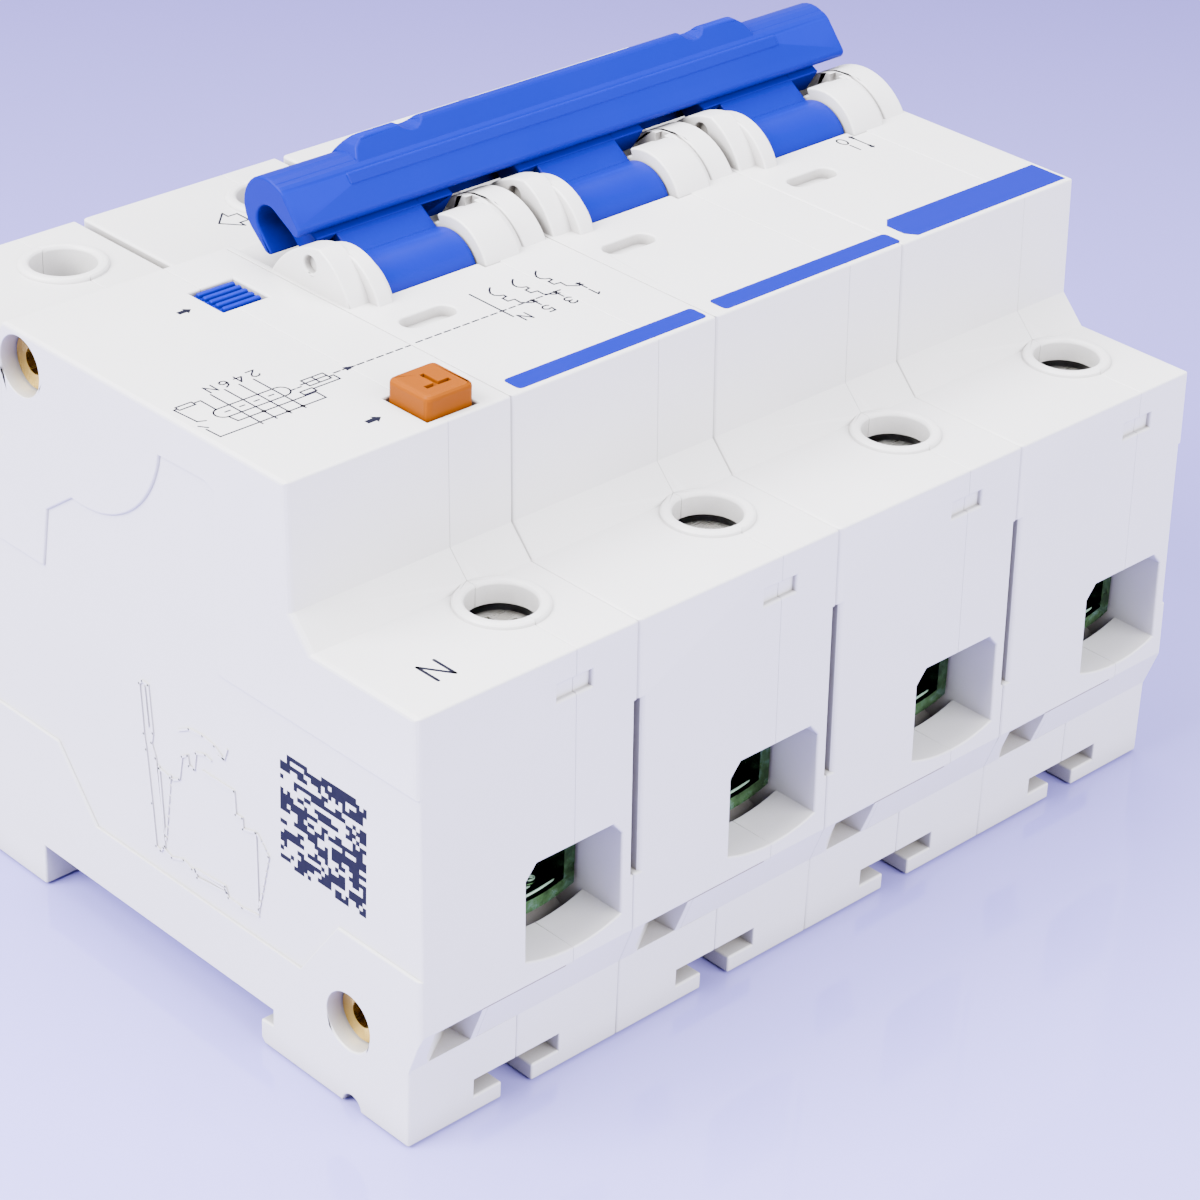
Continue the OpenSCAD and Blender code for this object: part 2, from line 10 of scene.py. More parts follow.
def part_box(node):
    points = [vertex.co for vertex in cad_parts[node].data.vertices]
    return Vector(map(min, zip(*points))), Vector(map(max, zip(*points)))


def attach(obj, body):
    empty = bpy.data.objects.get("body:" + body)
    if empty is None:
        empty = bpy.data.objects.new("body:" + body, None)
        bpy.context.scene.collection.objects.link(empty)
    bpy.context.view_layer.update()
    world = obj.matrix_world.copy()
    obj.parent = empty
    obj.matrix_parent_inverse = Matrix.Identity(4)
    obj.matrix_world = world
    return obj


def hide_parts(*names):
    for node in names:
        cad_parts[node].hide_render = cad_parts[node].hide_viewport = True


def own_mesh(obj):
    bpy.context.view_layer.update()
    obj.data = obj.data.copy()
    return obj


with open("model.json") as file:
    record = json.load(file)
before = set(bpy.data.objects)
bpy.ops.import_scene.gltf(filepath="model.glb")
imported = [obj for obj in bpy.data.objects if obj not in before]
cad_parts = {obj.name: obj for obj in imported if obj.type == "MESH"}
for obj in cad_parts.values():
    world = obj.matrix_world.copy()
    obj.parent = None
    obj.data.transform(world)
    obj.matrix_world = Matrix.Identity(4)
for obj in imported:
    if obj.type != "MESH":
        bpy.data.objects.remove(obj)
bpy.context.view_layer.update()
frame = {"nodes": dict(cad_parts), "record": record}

MM = 0.001
MODULE_W = 27.0
HALF_W = 54.0
HALF_L = 44.0
LENGTH = 2 * HALF_L
DECK = 63.5
LINE_SHOULDER = 47.5
LOAD_SHOULDER = 57.8
LINE_Y = 11.5
LOAD_Y = 78.6
TERMINAL_X = 19.3
SIDE_RECESS = 0.3
NODES = frame["nodes"]


def at(x, y, z):
    """A point measured in millimetres from the neutral module's line-end corner."""
    return Vector(((x - HALF_W) * MM, (y - HALF_L) * MM, z * MM))


# ---------- materials ----------

def new_material(name):
    """An empty node material, its tree and its one shader."""
    m = bpy.data.materials.new(name)
    m.use_nodes = True
    tree = m.node_tree
    bsdf = tree.nodes["Principled BSDF"]
    return m, tree, bsdf


def link(tree, a, a_socket, b, b_socket):
    tree.links.new(a.outputs[a_socket], b.inputs[b_socket])


def noise(tree, scale, detail=4.0, rough=0.55):
    """Noise fixed to the object, at this scale per metre."""
    coords = tree.nodes.new("ShaderNodeTexCoord")
    n = tree.nodes.new("ShaderNodeTexNoise")
    n.inputs["Scale"].default_value = scale
    n.inputs["Detail"].default_value = detail
    n.inputs["Roughness"].default_value = rough
    link(tree, coords, "Object", n, "Vector")
    return n


def ramp(tree, source, socket, stops):
    """Colours picked by a value, as (place, colour) pairs."""
    r = tree.nodes.new("ShaderNodeValToRGB")
    elements = r.color_ramp.elements
    while len(elements) > 1:
        elements.remove(elements[-1])
    elements[0].position, elements[0].color = stops[0][0], (*stops[0][1], 1)
    for place, colour in stops[1:]:
        e = elements.new(place)
        e.color = (*colour, 1)
    link(tree, source, socket, r, "Fac")
    return r


def map_range(tree, source, socket, low, high, to_low, to_high):
    n = tree.nodes.new("ShaderNodeMapRange")
    n.inputs["From Min"].default_value = low
    n.inputs["From Max"].default_value = high
    n.inputs["To Min"].default_value = to_low
    n.inputs["To Max"].default_value = to_high
    link(tree, source, socket, n, "Value")
    return n


def bump(tree, source, socket, bsdf, strength, distance, after=None):
    b = tree.nodes.new("ShaderNodeBump")
    b.inputs["Strength"].default_value = strength
    b.inputs["Distance"].default_value = distance
    link(tree, source, socket, b, "Height")
    if after is not None:
        link(tree, after, "Normal", b, "Normal")
    if bsdf is not None:
        link(tree, b, "Normal", bsdf, "Normal")
    return b


def scaled(colour, k):
    return tuple(min(1.0, c * k) for c in colour)


def paint_crevice_shade(tree, source, socket, bsdf, deepest):
    """Darkens a base colour with painted shade in narrow gaps and recesses, down to a share of deepest,
    tinted towards brown.
    """
    hidden = tree.nodes.new("ShaderNodeAmbientOcclusion")
    hidden.samples = 8
    hidden.inputs["Distance"].default_value = 0.007
    warm_shade = (deepest * 1.06, deepest, deepest * 0.90)
    share = ramp(tree, hidden, "AO", [(0.08, warm_shade), (0.70, (1, 1, 1))])
    mix = tree.nodes.new("ShaderNodeMix")
    mix.data_type = "RGBA"
    mix.blend_type = "MULTIPLY"
    mix.inputs["Factor"].default_value = 1.0
    tree.links.new(source.outputs[socket], mix.inputs["A"])
    tree.links.new(share.outputs["Color"], mix.inputs["B"])
    tree.links.new(mix.outputs["Result"], bsdf.inputs["Base Color"])


def plastic(name, colour, roughness, grain=2600.0, grain_depth=0.00001, spec=0.45, sheen_edge=1.06,
            crevice_shade=0.30):
    """Moulded plastic: a fine spark-eroded grain, faint flow marks, edges rubbed a little lighter, and
    painted shade darkening its gaps and recesses.
    """
    m, tree, bsdf = new_material(name)
    flow = noise(tree, 34.0, 3.0)
    tint = ramp(tree, flow, "Fac", [(0.30, scaled(colour, 0.965)), (0.70, scaled(colour, 1.02))])
    geometry = tree.nodes.new("ShaderNodeNewGeometry")
    edge = map_range(tree, geometry, "Pointiness", 0.52, 0.60, 0.0, 0.6)
    mix = tree.nodes.new("ShaderNodeMix")
    mix.data_type = "RGBA"
    mix.inputs["B"].default_value = (*scaled(colour, sheen_edge), 1)
    link(tree, edge, "Result", mix, "Factor")
    tree.links.new(tint.outputs["Color"], mix.inputs["A"])
    # Painted shade: the colour is darkened where gaps and recesses hide it from light.
    paint_crevice_shade(tree, mix, "Result", bsdf, crevice_shade)
    patches = noise(tree, 95.0, 5.0)
    rough = map_range(tree, patches, "Fac", 0.3, 0.7, roughness - 0.05, roughness + 0.06)
    link(tree, rough, "Result", bsdf, "Roughness")
    fine = noise(tree, grain, 2.0)
    wavy = noise(tree, 60.0, 2.0)
    first = bump(tree, wavy, "Fac", None, 0.10, 0.0002)
    bump(tree, fine, "Fac", bsdf, 0.35, grain_depth, first)
    bsdf.inputs["Specular IOR Level"].default_value = spec
    return m


def metal(name, colour, second, roughness, scratch=420.0, depth=0.00002, metallic=1.0):
    """Plated or bare metal with drawn streaks, blotches of a second tone and scattered polish."""
    m, tree, bsdf = new_material(name)
    blotch = noise(tree, 240.0, 6.0, 0.6)
    tint = ramp(tree, blotch, "Fac", [(0.32, colour), (0.52, scaled(colour, 1.25)), (0.70, second)])
    tree.links.new(tint.outputs["Color"], bsdf.inputs["Base Color"])
    coords = tree.nodes.new("ShaderNodeTexCoord")
    stretch = tree.nodes.new("ShaderNodeMapping")
    stretch.inputs["Scale"].default_value = (1.0, 12.0, 1.0)
    link(tree, coords, "Object", stretch, "Vector")
    streak = tree.nodes.new("ShaderNodeTexNoise")
    streak.inputs["Scale"].default_value = scratch
    streak.inputs["Detail"].default_value = 3.0
    link(tree, stretch, "Vector", streak, "Vector")
    rough = map_range(tree, streak, "Fac", 0.3, 0.7, roughness - 0.07, roughness + 0.10)
    link(tree, rough, "Result", bsdf, "Roughness")
    bump(tree, streak, "Fac", bsdf, 0.3, depth)
    bsdf.inputs["Metallic"].default_value = metallic
    return m


def chromate(name, inside_shade, edge, tint):
    """Dark chromate: painted nearly black on every face but the open ends, as shade within the cage, with
    greener sheared edges in the plating's own colour on the open ends.
    """
    m, tree, bsdf = new_material(name)
    coords = tree.nodes.new("ShaderNodeTexCoord")
    split = tree.nodes.new("ShaderNodeSeparateXYZ")
    link(tree, coords, "Normal", split, "Vector")
    facing = tree.nodes.new("ShaderNodeMath")
    facing.operation = "ABSOLUTE"
    link(tree, split, "Y", facing, 0)
    ends = map_range(tree, facing, "Value", 0.75, 0.95, 0.0, 1.0)
    blotch = noise(tree, 420.0, 5.0, 0.6)
    dark = ramp(tree, blotch, "Fac", [(0.35, inside_shade), (0.70, scaled(inside_shade, 2.6))])
    sheared = ramp(tree, blotch, "Fac", [(0.38, scaled(edge, 0.45)), (0.52, edge), (0.66, tint)])
    mix = tree.nodes.new("ShaderNodeMix")
    mix.data_type = "RGBA"
    link(tree, ends, "Result", mix, "Factor")
    tree.links.new(dark.outputs["Color"], mix.inputs["A"])
    tree.links.new(sheared.outputs["Color"], mix.inputs["B"])
    tree.links.new(mix.outputs["Result"], bsdf.inputs["Base Color"])
    grit = noise(tree, 900.0, 4.0)
    rough = map_range(tree, grit, "Fac", 0.3, 0.7, 0.14, 0.32)
    link(tree, rough, "Result", bsdf, "Roughness")
    bump(tree, grit, "Fac", bsdf, 0.25, 0.00002)
    bsdf.inputs["Metallic"].default_value = 1.0
    return m


def ink(name, colour):
    """Pad-printed ink with slightly uneven cover."""
    m, tree, bsdf = new_material(name)
    cover = noise(tree, 1500.0, 4.0)
    tint = ramp(tree, cover, "Fac", [(0.35, colour), (0.75, scaled(colour, 1.5))])
    bsdf.inputs["Specular IOR Level"].default_value = 0.08
    tree.links.new(tint.outputs["Color"], bsdf.inputs["Base Color"])
    rough = map_range(tree, cover, "Fac", 0.3, 0.7, 0.42, 0.6)
    link(tree, rough, "Result", bsdf, "Roughness")
    return m


IVORY = (0.66, 0.648, 0.655)
BLUE = (0.0, 0.003, 0.235)
ORANGE = (0.20, 0.048, 0.0)
mats = {
    "housing": plastic("housing_ivory", IVORY, 0.36),
    # The 0.55 on the handle and the button sets how dark the painted shade in their recesses gets.
    "handle": plastic("toggle_blue", BLUE, 0.36, grain=3200.0, spec=0.06, sheen_edge=1.35, crevice_shade=0.55),
    "test_button": plastic("button_orange", ORANGE, 0.36, grain=3200.0, spec=0.06, sheen_edge=1.3, crevice_shade=0.55),
    # The first colour is painted shade for the cage's enclosed faces; the other two are the plating on its
    # open ends.
    "clamp_plating": chromate("chromated_steel", (0.007, 0.013, 0.008), (0.07, 0.16, 0.06),
                              (0.16, 0.30, 0.24)),
    "steel": metal("zinc_steel", (0.50, 0.50, 0.48), (0.66, 0.64, 0.58), 0.30),
    "dark_steel": metal("phosphated_steel", (0.13, 0.13, 0.14), (0.22, 0.22, 0.22), 0.45),
    "copper": metal("bare_copper", (0.72, 0.36, 0.22), (0.80, 0.48, 0.33), 0.30),
    "winding_copper": metal("enamelled_copper", (0.55, 0.21, 0.08), (0.66, 0.30, 0.13), 0.26),
    "core_grey": plastic("coated_core", (0.10, 0.105, 0.12), 0.48),
    "board_green": plastic("board_resist", (0.02, 0.16, 0.07), 0.34),
    "inner_plastic": plastic("inner_white", (0.70, 0.70, 0.68), 0.50),
    "brass": metal("rolled_brass", (0.66, 0.46, 0.12), (0.80, 0.62, 0.24), 0.20),
}
# Painted highlight: a light, barely metallic colour keeps the serrations and the dimple's crown bright,
# standing in for the glints off them.
teeth_painted_highlight = metal("painted_highlight_teeth", (0.26, 0.42, 0.30), (0.62, 0.74, 0.62), 0.16, 900.0, metallic=0.3)
# Painted shadow: an ink-like dark strip laid in the case-cover joint below each wire mouth.
seam_shadow = ink("seam_shadow", (0.17, 0.14, 0.12))
print_dark = ink("print_indigo", (0.004, 0.004, 0.012))
print_blue = plastic("strip_blue", (0.0, 0.002, 0.21), 0.34, grain=3600.0, grain_depth=0.000004, spec=0.08,
                     sheen_edge=1.2)


# ---------- carried-over CAD nodes ----------

class Field:
    """Small arithmetic on geometry-node sockets, in millimetres from the line-end corner."""

    def __init__(self, name):
        self.group = bpy.data.node_groups.new(name, "GeometryNodeTree")
        self.group.interface.new_socket("Geometry", in_out="INPUT", socket_type="NodeSocketGeometry")
        self.group.interface.new_socket("Geometry", in_out="OUTPUT", socket_type="NodeSocketGeometry")
        self.nodes = self.group.nodes
        position = self.nodes.new("GeometryNodeInputPosition")
        split = self.nodes.new("ShaderNodeSeparateXYZ")
        self.group.links.new(position.outputs[0], split.inputs[0])
        self.x = self.math("MULTIPLY_ADD", split.outputs[0], 1 / MM, HALF_W)
        self.y = self.math("MULTIPLY_ADD", split.outputs[1], 1 / MM, HALF_L)
        self.z = self.math("MULTIPLY", split.outputs[2], 1 / MM)

    def math(self, operation, *values):
        n = self.nodes.new("ShaderNodeMath")
        n.operation = operation
        for k, value in enumerate(values):
            if isinstance(value, (int, float)):
                n.inputs[k].default_value = value
            else:
                self.group.links.new(value, n.inputs[k])
        return n.outputs[0]

    def above(self, value, limit):
        return self.math("GREATER_THAN", value, limit)

    def below(self, value, limit):
        return self.math("LESS_THAN", value, limit)

    def near(self, value, middle, reach):
        return self.math("COMPARE", value, middle, reach)

    def both(self, *values):
        result = values[0]
        for value in values[1:]:
            result = self.math("MULTIPLY", result, value)
        return result

    def either(self, *values):
        result = values[0]
        for value in values[1:]:
            result = self.math("MAXIMUM", result, value)
        return result

    def choose(self, test, yes, no):
        """yes where test is 1, no where it is 0."""
        left = self.math("MULTIPLY", test, yes)
        rest = self.math("SUBTRACT", 1.0, test)
        return self.math("MULTIPLY_ADD", rest, no, left)

    def finish(self, weight, angle):
        """Stores the weight on the convex edges sharper than the angle."""
        turn = self.nodes.new("GeometryNodeInputMeshEdgeAngle")
        sharp = self.above(turn.outputs["Signed Angle"], math.radians(angle))
        store = self.nodes.new("GeometryNodeStoreNamedAttribute")
        store.data_type = "FLOAT"
        store.domain = "EDGE"
        store.inputs["Name"].default_value = "bevel_weight_edge"
        self.group.links.new(self.math("MULTIPLY", sharp, weight), store.inputs["Value"])
        start = self.nodes.new("NodeGroupInput")
        end = self.nodes.new("NodeGroupOutput")
        self.group.links.new(start.outputs[0], store.inputs["Geometry"])
        self.group.links.new(store.outputs["Geometry"], end.inputs[0])
        return self.group


SHELL_JOINT_X = 19.21
RIM_RISE = 0.5
BAR_ENDS = (28.2, 106.4)
TEST_X = 20.65
TEST_Y = 23.3


def housing_edges(name, is_case):
    """Round rims on the screw holes, soft outer corners, and a fine line where case meets cover."""
    f = Field(name)
    local_x = f.math("MODULO", f.math("ADD", f.x, 0.01), MODULE_W)
    joint = f.near(local_x, SHELL_JOINT_X, 0.03)
    rim = f.either(f.near(f.z, LINE_SHOULDER + RIM_RISE, 0.1), f.near(f.z, LOAD_SHOULDER + RIM_RISE, 0.1))
    weight = 0.36
    if is_case:
        upright = f.either(
            f.below(f.y, 1.4),
            f.above(f.y, LENGTH - 1.4),
            f.both(f.above(f.y, 15.6), f.below(f.y, 19.4), f.above(f.z, 47.8)),
            f.both(f.above(f.y, 61.5), f.below(f.y, 64.9), f.above(f.z, 58.0)),
        )
        side = f.either(f.near(local_x, 0.01, 0.03), f.near(local_x, 0.71, 0.03))
        level = f.either(f.near(f.z, DECK, 0.2), f.near(f.z, LINE_SHOULDER, 0.12),
                         f.near(f.z, LOAD_SHOULDER, 0.12))
        weight = f.choose(f.both(side, upright), 1.0, weight)
        weight = f.choose(f.both(f.below(f.x, 0.05), level), 0.7, weight)
        bore = f.both(f.near(f.x, 0.0, 0.05), f.near(f.y, 59.2, 3.3), f.near(f.z, 59.7, 3.3))
        weight = f.choose(bore, 0.15, weight)
    weight = f.choose(rim, 0.75, weight)
    chin = f.both(f.above(f.z, 8.6), f.below(f.z, 13.8))
    weight = f.choose(chin, 0.12, weight)
    notch = f.both(f.near(f.y, 49.6, 2.6), f.near(f.z, 66.4, 1.9), f.near(local_x, 21.8, 2.0))
    weight = f.choose(notch, 0.08, weight)
    return f.finish(f.choose(joint, 0.17, weight), 30.0)


def handle_edges():
    """A rounder edge around the toggle bar's two end faces."""
    f = Field("handle_edges")
    end_face = f.either(*(f.near(f.x, x, 0.05) for x in BAR_ENDS))
    return f.finish(f.choose(end_face, 0.6, 0.45), 33.0)


def button_edges():
    """Round outer edges on the test button, and crisp ones in its recessed letter."""
    f = Field("button_edges")
    outside = f.either(
        f.above(f.math("ABSOLUTE", f.math("SUBTRACT", f.x, TEST_X)), 2.0),
        f.above(f.math("ABSOLUTE", f.math("SUBTRACT", f.y, TEST_Y)), 2.0),
    )
    return f.finish(f.choose(outside, 1.0, 0.12), 30.0)


def soften(obj, width, edges, segments=3):
    """Rounds the outer edges of a CAD node without changing its mesh."""
    weld = obj.modifiers.new("weld", "WELD")
    weld.merge_threshold = 0.000005
    flat = obj.modifiers.new("flat", "DECIMATE")
    flat.decimate_type = "DISSOLVE"
    flat.angle_limit = math.radians(0.6)
    pick = obj.modifiers.new("pick", "NODES")
    pick.node_group = edges
    round_edges = obj.modifiers.new("round", "BEVEL")
    round_edges.width = width * MM
    round_edges.segments = segments
    round_edges.limit_method = "WEIGHT"
    round_edges.use_clamp_overlap = False
    round_edges.harden_normals = False
    normals = obj.modifiers.new("normals", "WEIGHTED_NORMAL")
    normals.keep_sharp = True


record_slots = {s["node"]: s["material_slot"] for s in frame["record"]["subparts"]}
for name, obj in NODES.items():
    slot_name = record_slots[name]
    obj.data.materials.clear()
    obj.data.materials.append(mats[slot_name])

of_case, of_cover = housing_edges("case_edges", True), housing_edges("cover_edges", False)
of_handle, of_button = handle_edges(), button_edges()
for name in NODES:
    if record_slots[name] == "housing":
        soften(NODES[name], 0.6, of_case if name.endswith("case") else of_cover)
    elif record_slots[name] == "handle":
        soften(NODES[name], 0.4, of_handle)
    elif record_slots[name] == "test_button":
        soften(NODES[name], 0.5, of_button)


# ---------- added pieces ----------

INK_T = 0.02
GLYPHS = {
    "N": [[(0, 0), (0, 1), (0.7, 0), (0.7, 1)]],
    "I": [[(0.35, 0), (0.35, 1)]],
    "O": [[
        (0.35 + 0.33 * math.cos(a * math.pi / 8), 0.5 + 0.5 * math.sin(a * math.pi / 8)) for a in range(17)
    ]],
    "1": [[(0.12, 0.78), (0.4, 1), (0.4, 0)]],
    "2": [[(0, 0.8), (0.15, 0.98), (0.5, 1), (0.66, 0.8), (0.6, 0.58), (0, 0), (0.7, 0)]],
    "3": [
        [(0, 0.86), (0.2, 1), (0.5, 1), (0.65, 0.84), (0.62, 0.62), (0.42, 0.52), (0.25, 0.52)],
        [(0.42, 0.52), (0.68, 0.38), (0.68, 0.15), (0.5, 0), (0.2, 0), (0, 0.14)],
    ],
    "4": [[(0.5, 0), (0.5, 1), (0, 0.3), (0.7, 0.3)]],
    "5": [[
        (0.62, 1), (0.1, 1), (0.05, 0.55), (0.4, 0.6), (0.65, 0.42), (0.65, 0.18), (0.45, 0), (0.12, 0.02),
        (0, 0.12),
    ]],
    "6": [[
        (0.55, 1), (0.2, 0.8), (0.02, 0.4), (0.1, 0.1), (0.35, 0), (0.6, 0.1), (0.66, 0.34), (0.5, 0.52),
        (0.2, 0.5), (0.05, 0.3),
    ]],
}


def glyph(letter, x, y, height):
    """Strokes of a letter read from the load side, centred on x, y."""
    return [[(x - (u - 0.35) * height, y - (v - 0.5) * height) for u, v in line] for line in GLYPHS[letter]]


def ring(x, y, rx, ry, steps=28):
    turn = 2 * math.pi / steps
    return [(x + rx * math.cos(k * turn), y + ry * math.sin(k * turn)) for k in range(steps + 1)]


def stadium(x0, x1, y, r, steps=10):
    """Closed outline of a slot from x0 to x1."""
    turn = math.pi / steps
    right = [(x1 - r + r * math.sin(k * turn), y + r * math.cos(k * turn)) for k in range(steps + 1)]
    left = [(x0 + r - r * math.sin(k * turn), y - r * math.cos(k * turn)) for k in range(steps + 1)]
    return right + left + right[:1]


def dashes(a, b, dash, gap):
    """A straight dashed line from a to b."""
    length = math.dist(a, b)
    out = []
    t = 0.0
    while t < length:
        end = min(t + dash, length)
        out.append([tuple(a[k] + (b[k] - a[k]) * q / length for k in (0, 1)) for q in (t, end)])
        t += dash + gap
    return out


def on_level(z):
    """Places a drawing's u, v and height on a level face."""
    return lambda u, v, h: at(u, v, z + h)


def on_left(x):
    """Places a drawing's y, z and height on the left wall."""
    return lambda u, v, h: at(x - h, u, v)


def piece(name, verts, faces, mat, body="housing", slot=None):
    """A mesh object that rides on a body."""
    mesh = bpy.data.meshes.new(name)
    mesh.from_pydata(verts, [], faces)
    bm = bmesh.new()
    bm.from_mesh(mesh)
    bmesh.ops.recalc_face_normals(bm, faces=bm.faces)
    bm.to_mesh(mesh)
    bm.free()
    mesh.materials.append(mat)
    obj = bpy.data.objects.new(name, mesh)
    bpy.context.collection.objects.link(obj)
    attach(obj, body)
    return obj


def prism(verts, faces, outline, place, thick, base=0.0):
    """Adds a closed thin plate with this outline."""
    n = len(outline)
    start = len(verts)
    verts += [place(u, v, base) for u, v in outline] + [place(u, v, base + thick) for u, v in outline]
    faces.append([start + n + k for k in range(n)])
    faces.append([start + n - 1 - k for k in range(n)])
    for k in range(n):
        j = (k + 1) % n
        faces.append([start + k, start + j, start + n + j, start + n + k])


def plates(name, outlines, place, mat, thick=INK_T, **more):
    """Thin filled shapes of ink."""
    verts, faces = [], []
    for outline in outlines:
        prism(verts, faces, outline, place, thick)
    return piece(name, verts, faces, mat, **more)


def strokes(name, lines, width, place, mat, thick=INK_T, **more):
    """Thin lines of ink, or of raised plastic, along polylines."""
    verts, faces = [], []
    half = width / 2
    for line in lines:
        for (x0, y0), (x1, y1) in zip(line, line[1:]):
            length = math.hypot(x1 - x0, y1 - y0)
            if length < 1e-6:
                continue
            dx, dy = (x1 - x0) / length * half, (y1 - y0) / length * half
            outline = [
                (x0 - dx + dy * 0.6, y0 - dy - dx * 0.6), (x0 - dx * 0.2 + dy, y0 - dy * 0.2 - dx),
                (x1 + dx * 0.2 + dy, y1 + dy * 0.2 - dx), (x1 + dx + dy * 0.6, y1 + dy - dx * 0.6),
                (x1 + dx - dy * 0.6, y1 + dy + dx * 0.6), (x1 + dx * 0.2 - dy, y1 + dy * 0.2 + dx),
                (x0 - dx * 0.2 - dy, y0 - dy * 0.2 + dx), (x0 - dx - dy * 0.6, y0 - dy + dx * 0.6),
            ]
            prism(verts, faces, outline, place, thick)
    return piece(name, verts, faces, mat, **more)


def block_arrow(x, y, length, width, turn=0.0):
    """Outline of a solid arrow whose tip is at x, y."""
    shape = [(0, 0), (-0.45, 0.5), (-0.45, 0.24), (-1, 0.24), (-1, -0.24), (-0.45, -0.24), (-0.45, -0.5)]
    c, s = math.cos(turn), math.sin(turn)
    return [(x + u * length * c - v * width * s, y + u * length * s + v * width * c) for u, v in shape]


def neutral_prints():
    """The circuit, arrows, numbers and letter printed on the neutral module."""
    deck = on_level(DECK)
    lines = [[(x, 37.0), (x + 0.05, 29.45)] for x in (5.75, 7.4, 9.1, 10.8)]
    lines.append(stadium(3.47, 12.05, 33.4, 0.92))
    lines += [[(x, 33.4), (x + 0.55, 33.4)] for x in (4.6, 6.3, 8.0, 9.7)]
    lines += [[(12.05, 33.0), (12.5, 33.0)], [(12.75, 33.0), (13.2, 33.0)], [(13.4, 33.3), (13.9, 33.3)]]
    lines.append([(13.95, 33.95), (16.55, 33.95), (16.55, 32.62), (13.95, 32.62), (13.95, 33.95)])
    lines += [[(15.2, 33.95), (15.2, 32.62)], [(13.95, 33.3), (16.55, 33.3)]]
    lines.append([(12.4, 32.2), (13.85, 32.2), (13.85, 31.5), (12.4, 31.5), (12.4, 32.2)])
    lines += [[(16.55, 33.0), (17.1, 33.0), (17.1, 32.0), (13.85, 32.0)]]
    lines.append([(4.27, 32.5), (4.45, 31.3), (13.6, 31.3), (13.6, 29.85), (1.25, 29.85), (1.15, 31.75)])
    lines.append([(4.27, 34.35), (4.27, 36.62), (3.45, 36.62)])
    lines.append([(1.6, 36.95), (3.45, 36.95), (3.45, 36.3), (1.6, 36.3), (1.6, 36.95)])
    lines += [[(1.6, 36.62), (1.2, 36.62), (1.45, 33.5), (2.2, 33.15)], [(0.95, 32.7), (1.5, 31.95)]]
    strokes("neutral_circuit_print", lines, 0.18, deck, print_dark)
    dashed = dashes((17.4, 33.28), (18.6, 33.28), 0.7, 0.4) + dashes((20.2, 33.2), (26.7, 33.2), 0.75, 0.45)
    strokes("neutral_dashed_print", dashed, 0.2, deck, print_dark)
    dots = [ring(x, y, 0.24, 0.24, 12)[:-1] for x, y in ((7.43, 31.3), (9.13, 29.85), (10.84, 29.85))]
    arrows = [
        [(18.7, 33.65), (20.1, 33.2), (18.7, 32.85)],
        block_arrow(14.95, 23.65, 1.75, 1.3),
        block_arrow(15.6, 52.55, 1.6, 1.2),
    ]
    plates("neutral_marks_print", dots + arrows, deck, print_dark)
    digits = []
    for letter, x in (("N", 6.45), ("6", 8.1), ("4", 9.8), ("2", 11.5)):
        digits += glyph(letter, x, 37.9, 1.25)
    strokes("neutral_numbers_print", digits, 0.18, deck, print_dark)
    strokes("neutral_letter_print", glyph("N", 6.92, 6.55, 2.9), 0.34, on_level(LINE_SHOULDER), print_dark)


def breaker_symbol(x):
    """Thermal and magnetic release drawn as one kinked line."""
    return [
        (x, 38.0), (x - 0.45, 37.6), (x - 0.85, 37.0), (x - 0.85, 36.45), (x - 0.5, 36.05), (x - 0.1, 35.9),
        (x - 0.1, 35.5), (x - 0.7, 35.4), (x - 0.7, 34.6), (x + 0.1, 34.5), (x + 0.05, 33.6),
        (x + 0.85, 32.9),
    ]


def pole_prints():
    """The poles' circuit symbols and numbers, the on and off marks, and the arrow at the load end."""
    deck = on_level(DECK)
    lines = [breaker_symbol(x) for x in (41.3, 44.35, 47.45)]
    lines.append([(38.7, 38.1), (38.65, 31.7)])
    for x in (42.6, 45.6, 48.75):
        lines += [[(x - 0.25, 33.3), (x + 0.25, 32.8)], [(x - 0.25, 32.8), (x + 0.25, 33.3)]]
        lines.append([(x, 33.4), (x, 32.0)])
    strokes("pole1_circuit_print", lines, 0.21, deck, print_dark)
    strokes("pole1_dashed_print", dashes((27.6, 33.3), (46.8, 33.3), 0.75, 0.45), 0.2, deck, print_dark)
    digits = []
    for letter, x, y in (("N", 39.6, 31.0), ("5", 42.55, 30.9), ("3", 45.55, 30.9), ("1", 48.75, 30.9)):
        digits += glyph(letter, x, y, 1.35)
    strokes("pole1_numbers_print", digits, 0.2, deck, print_dark)
    marks = [[(97.6, 38.9), (97.6, 41.6)]] + glyph("I", 95.9, 39.6, 1.5) + glyph("O", 95.9, 41.5, 1.5)
    strokes("pole3_toggle_print", marks, 0.2, deck, print_dark)
    ends = [block_arrow(97.6, 38.3, 0.9, 0.8, -math.pi / 2), block_arrow(97.6, 42.2, 0.9, 0.8, math.pi / 2)]
    plates("pole3_arrows_print", ends, deck, print_dark)
    shoulder = on_level(LOAD_SHOULDER)
    outline = [
        (38.0, 76.75), (39.9, 78.6), (39.9, 77.6), (41.1, 77.6), (41.1, 75.6), (39.9, 75.6), (39.9, 74.7),
    ]
    strokes("pole1_load_arrow_print", [outline + outline[:1]], 0.22, shoulder, print_dark)


def rounded(x0, x1, y0, y1, r, steps=5):
    """Outline of a rectangle with round corners."""
    out = []
    for cx, cy, start in ((x1 - r, y1 - r, 0), (x0 + r, y1 - r, 1), (x0 + r, y0 + r, 2), (x1 - r, y0 + r, 3)):
        for k in range(steps + 1):
            a = (start + k / steps) * math.pi / 2
            out.append((cx + r * math.cos(a), cy + r * math.sin(a)))
    return out


